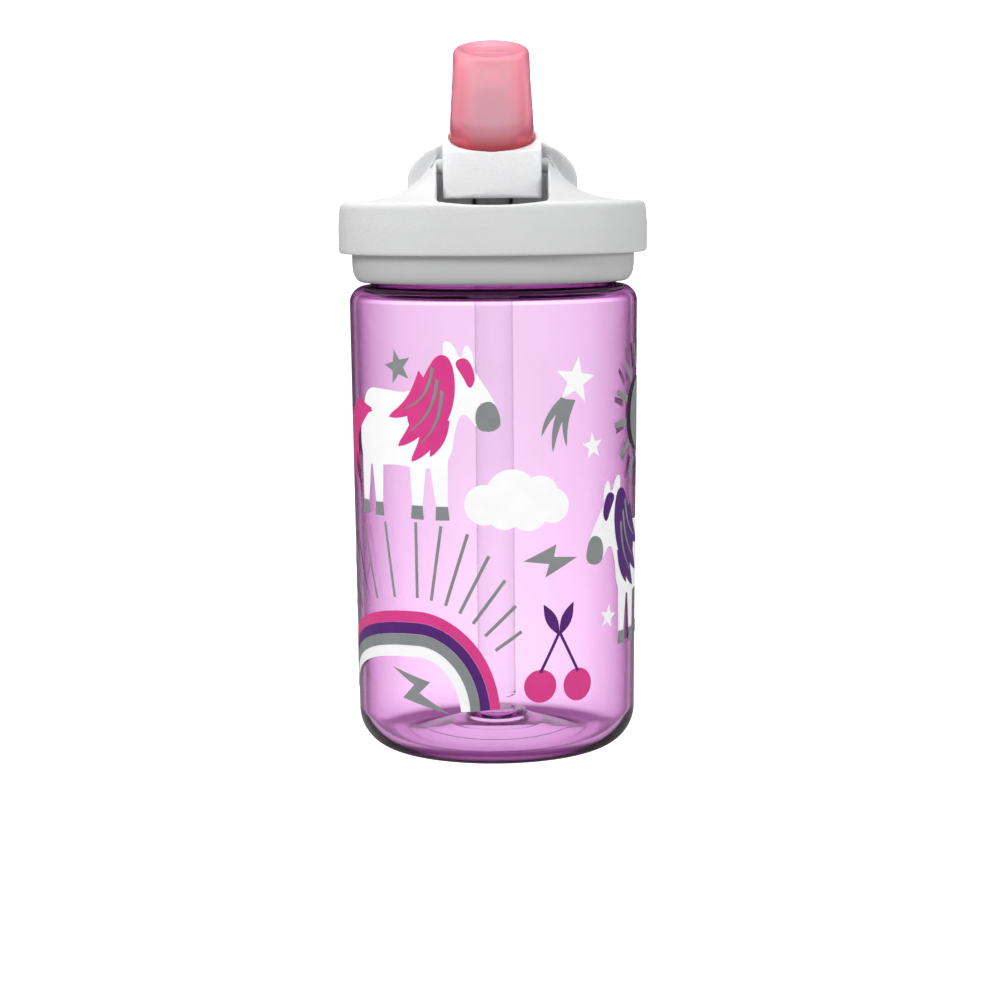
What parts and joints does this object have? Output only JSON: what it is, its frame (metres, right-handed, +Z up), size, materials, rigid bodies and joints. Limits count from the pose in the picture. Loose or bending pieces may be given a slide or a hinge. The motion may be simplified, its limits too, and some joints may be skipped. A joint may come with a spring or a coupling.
{
  "type": "kids water bottle",
  "caption": "Child's straw water bottle with a tinted clear screw-top body, a white lid with a carrying loop, a fold-down spout and a soft bite valve.",
  "frame": {"origin": "centre of the base ring that the bottle stands on, on the bottle's axis", "axes": "+Z up along the bottle's axis, +X to the right seen from the front, -Y towards the front, where the spout leans and folds"},
  "size_m": [0.079, 0.079, 0.1808],
  "materials": {
    "lilac_clear": "clear lilac-tinted copolyester, polished",
    "lid_white": "satin white polypropylene",
    "lid_white_textured": "white polypropylene with a fine spark texture",
    "bite_silicone": "translucent pink silicone",
    "seal_silicone": "translucent silicone",
    "straw_clear": "translucent polypropylene"
  },
  "bodies": {
    "bottle": {"bottle": "lilac_clear"},
    "lid_gasket": {"cap_gasket": "seal_silicone"},
    "lid": {"cap_core": "lid_white", "cap_shell": "lid_white_textured", "vent_valve": "seal_silicone", "port_seal": "seal_silicone", "straw": "straw_clear"},
    "spout": {"spout_stem": "lid_white", "spout_hood": "lid_white_textured", "bite_valve": "bite_silicone"}
  },
  "joints": [
    {"name": "lid_lift", "type": "slide", "parent": "bottle", "child": "lid_gasket", "axis": [0, 0, 1], "range_m": [0, 0.005]},
    {"name": "lid_turn", "type": "hinge", "parent": "lid_gasket", "child": "lid", "pos_m": [0, 0, 0.1331], "axis": [0, 0, 1], "range_deg": [0, 360]},
    {"name": "spout_flip", "type": "hinge", "parent": "lid", "child": "spout", "pos_m": [0, -0.003, 0.1495], "axis": [1, 0, 0], "range_deg": [0, 70]}
  ],
  "couplings": [
    {"joint": "lid_lift", "follows": "lid_turn", "m_per_rad": 0.00079577}
  ]
}
